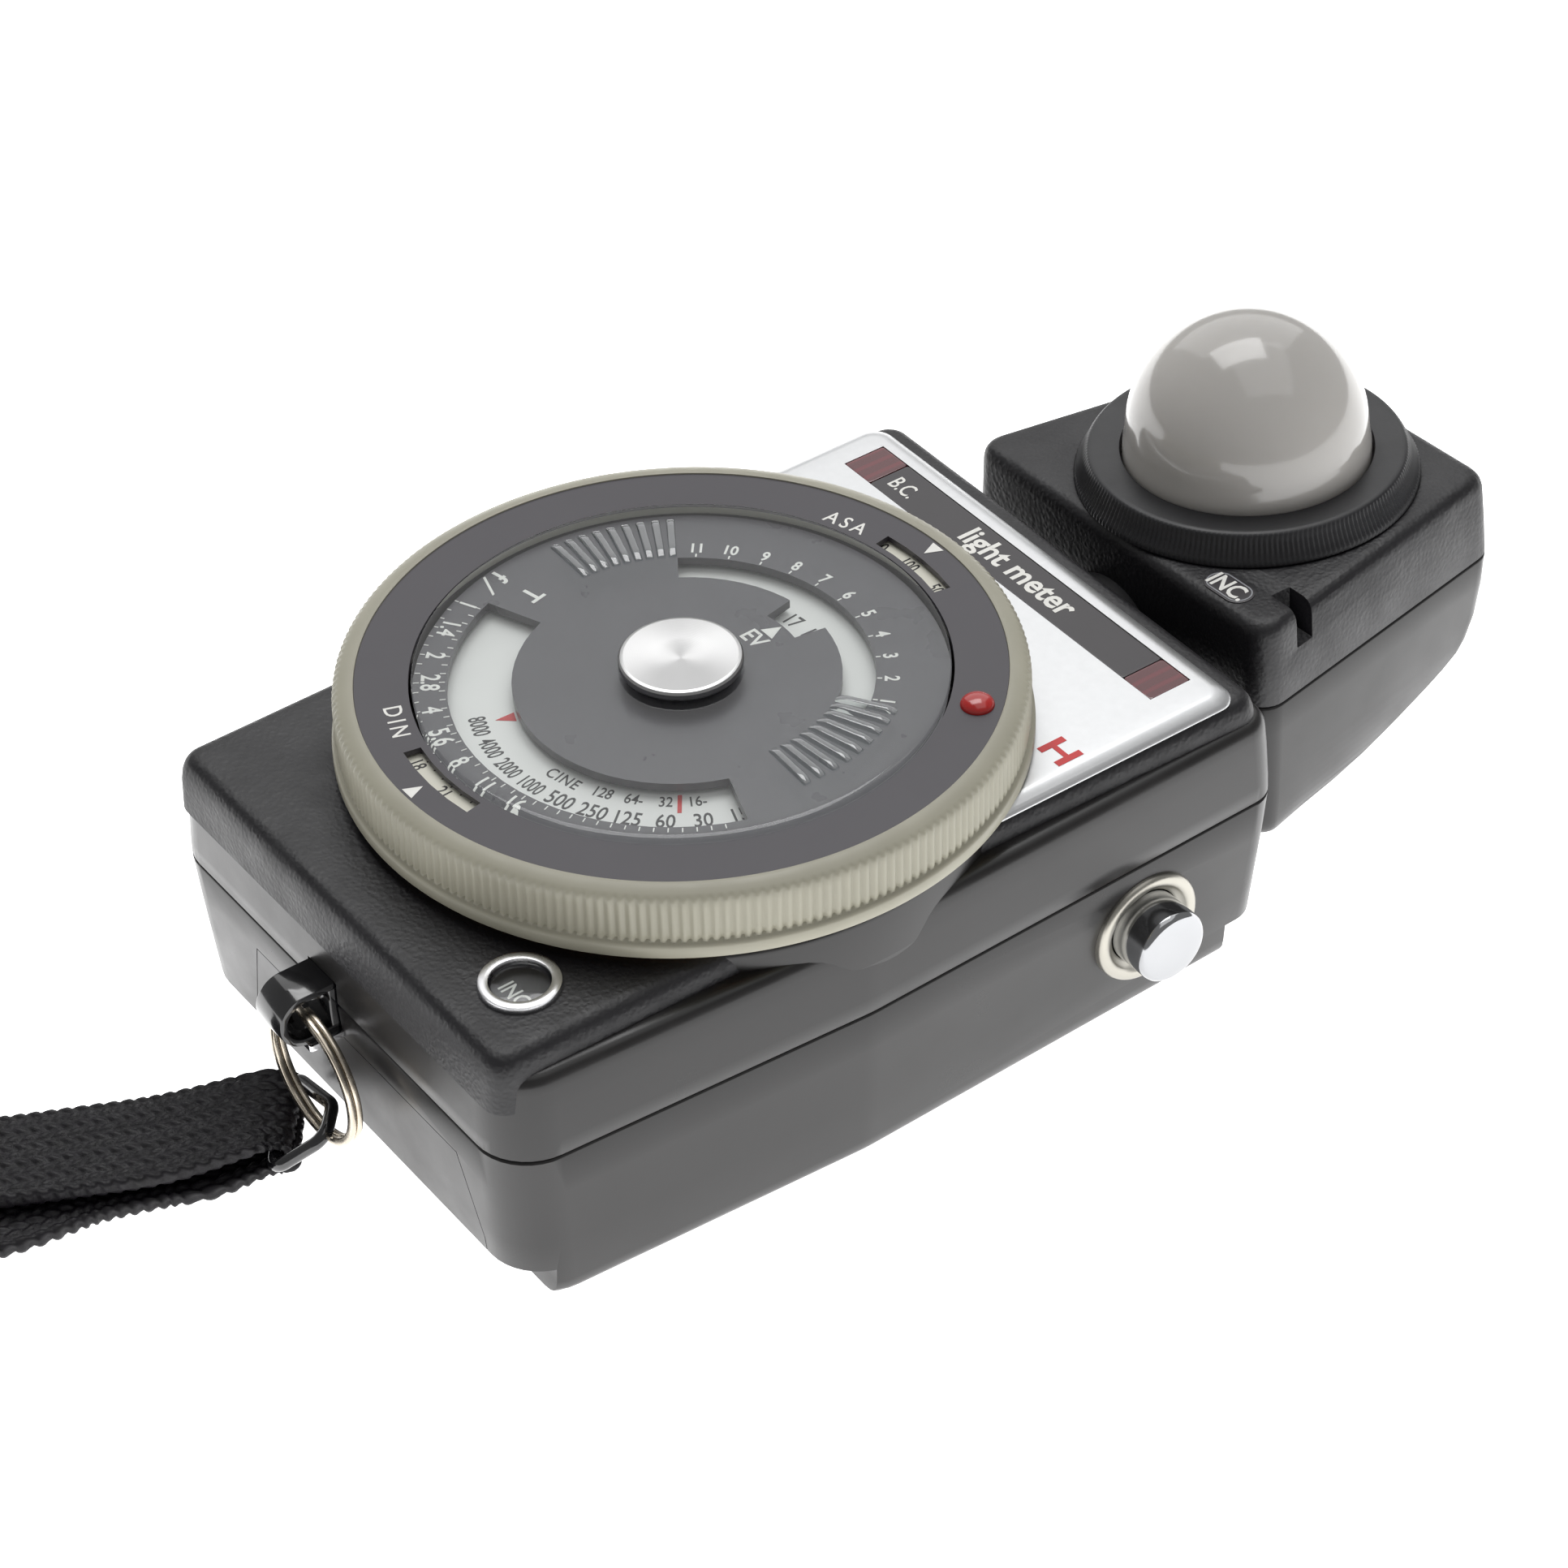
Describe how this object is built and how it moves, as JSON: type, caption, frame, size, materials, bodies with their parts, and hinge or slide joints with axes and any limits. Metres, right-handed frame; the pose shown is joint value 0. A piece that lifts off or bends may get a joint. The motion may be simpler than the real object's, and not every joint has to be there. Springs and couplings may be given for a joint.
{
  "type": "handheld light meter",
  "caption": "Handheld light meter with a motor-driven calculator dial under a knurled film speed ring, a side measuring button, a swivelling head with an opal dome, and a wrist strap.",
  "frame": {"origin": "on the dial axis, in the plane that the back rests on", "axes": "+Z out of the dial, +Y towards the swivel head, +X towards the measuring button"},
  "size_m": [0.1321, 0.276, 0.0496],
  "materials": {
    "black_cover": "fine leather-like grain on the deck, satin sides",
    "steel": "plain",
    "silver_plate": "satin anodised",
    "legend_ink": "satin dark grey",
    "red_window": "dark red translucent",
    "board": "solder mask",
    "led": "clear red",
    "turret_black": "satin",
    "khaki_ring": "satin, fine knurl",
    "dial_grey": "satin with printed scales",
    "red_stud": "gloss",
    "white_scale": "printed",
    "gold_track": "plain",
    "brass": "plain",
    "motor_can": "plated",
    "clear_disc": "clear moulded",
    "knob": "spun face",
    "button_chrome": "polished",
    "switch_black": "plain",
    "battery_wrap": "satin",
    "head_black": "satin",
    "collar_black": "satin, ribbed",
    "dome_white": "opal, glossy",
    "cell": "silicon cell",
    "filter": "tinted",
    "badge": "dark with pale outline",
    "black_enamel": "glossy black",
    "split_ring": "nickel",
    "braid": "flat braid"
  },
  "bodies": {
    "housing": {"top_cover": "black_cover", "rear_case": "black_cover", "case_screws": "steel", "name_plate": "silver_plate", "legend_band": "legend_ink", "battery_check_window": "red_window", "reading_window": "red_window", "lamp_board": "board", "indicator_leds": "led", "dial_turret": "turret_black", "turret_screws": "steel", "film_speed_scale": "white_scale", "film_speed_track": "gold_track", "dial_bush": "brass", "idler_axle": "steel", "drive_motor": "motor_can", "drive_bracket": "steel", "mode_window_bezel": "knob", "mode_window_lens": "clear_disc", "mode_label": "legend_ink", "button_escutcheon": "button_chrome", "button_spring": "steel", "button_switch": "switch_black", "circuit_board": "board", "battery": "battery_wrap", "battery_contacts": "brass", "neck_bush": "turret_black", "strap_lug": "black_enamel"},
    "film_speed_dial": {"film_speed_ring": "khaki_ring", "dial_face": "dial_grey", "index_stud": "red_stud"},
    "calculator_disc": {"clear_disc": "clear_disc", "mask_plate": "dial_grey", "centre_knob": "knob", "dial_spindle": "steel", "spindle_clip": "steel"},
    "time_scale": {"time_scale_disc": "white_scale", "time_disc_hub": "brass", "dial_gear": "brass"},
    "idler": {"idler_gear": "brass"},
    "pinion": {"motor_pinion": "brass"},
    "button": {"measuring_button": "button_chrome"},
    "head": {"head_top_shell": "head_black", "head_bottom_shell": "head_black", "head_screws": "steel", "neck_tube": "turret_black", "neck_clip": "steel", "photocell": "cell", "cell_filter": "filter", "cell_holder": "turret_black", "head_badge": "badge"},
    "diffuser": {"diffuser_collar": "collar_black", "diffuser_dome": "dome_white"},
    "door": {"battery_door": "black_cover"},
    "link": {"split_ring": "split_ring"},
    "strap": {"d_ring": "black_enamel", "wrist_strap": "braid"}
  },
  "joints": [
    {"name": "film_speed_turn", "type": "hinge", "parent": "housing", "child": "film_speed_dial", "pos_m": [0, 0, 0.037], "axis": [0, 0, 1], "range_deg": [-30, 80]},
    {"name": "calculator_turn", "type": "hinge", "parent": "housing", "child": "calculator_disc", "pos_m": [0, 0, 0.04], "axis": [0, 0, 1], "continuous": true},
    {"name": "scale_drive", "type": "hinge", "parent": "housing", "child": "time_scale", "pos_m": [0, 0, 0.032], "axis": [0, 0, 1], "continuous": true},
    {"name": "idler_spin", "type": "hinge", "parent": "housing", "child": "idler", "pos_m": [0.01053, 0.01824, 0.028], "axis": [0, 0, 1], "continuous": true},
    {"name": "pinion_spin", "type": "hinge", "parent": "housing", "child": "pinion", "pos_m": [0.01287, 0.02699, 0.028], "axis": [0, 0, 1], "continuous": true},
    {"name": "button_press", "type": "slide", "parent": "housing", "child": "button", "axis": [-1, 0, 0], "range_m": [0, 0.0018], "stiffness_N_per_m": 350, "springref_m": -0.003, "deforming": ["button_spring"]},
    {"name": "head_swivel", "type": "hinge", "parent": "housing", "child": "head", "pos_m": [0, 0.052, 0.0174], "axis": [0, 1, 0], "range_deg": [-90, 180]},
    {"name": "diffuser_bayonet", "type": "hinge", "parent": "head", "child": "diffuser", "pos_m": [-0.00076, 0.0742, 0.03098], "axis": [-0.0558, 0, 0.9984], "range_deg": [0, 45]},
    {"name": "battery_door_slide", "type": "slide", "parent": "housing", "child": "door", "axis": [0, 0, -1], "range_m": [0, 0.012]},
    {"name": "ring_swing", "type": "hinge", "parent": "housing", "child": "link", "pos_m": [0.0008, -0.0457, 0.0194], "axis": [-1, 0, 0], "range_deg": [0, 45]},
    {"name": "strap_link_swing", "type": "hinge", "parent": "link", "child": "strap", "pos_m": [0.0008, -0.04775, 0.0074], "axis": [1, 0, 0], "range_deg": [0, 45]}
  ],
  "couplings": [
    {"joint": "idler_spin", "follows": "scale_drive", "ratio": -2.5},
    {"joint": "pinion_spin", "follows": "scale_drive", "ratio": 5},
    {"joint": "strap_link_swing", "follows": "ring_swing", "ratio": 1}
  ]
}
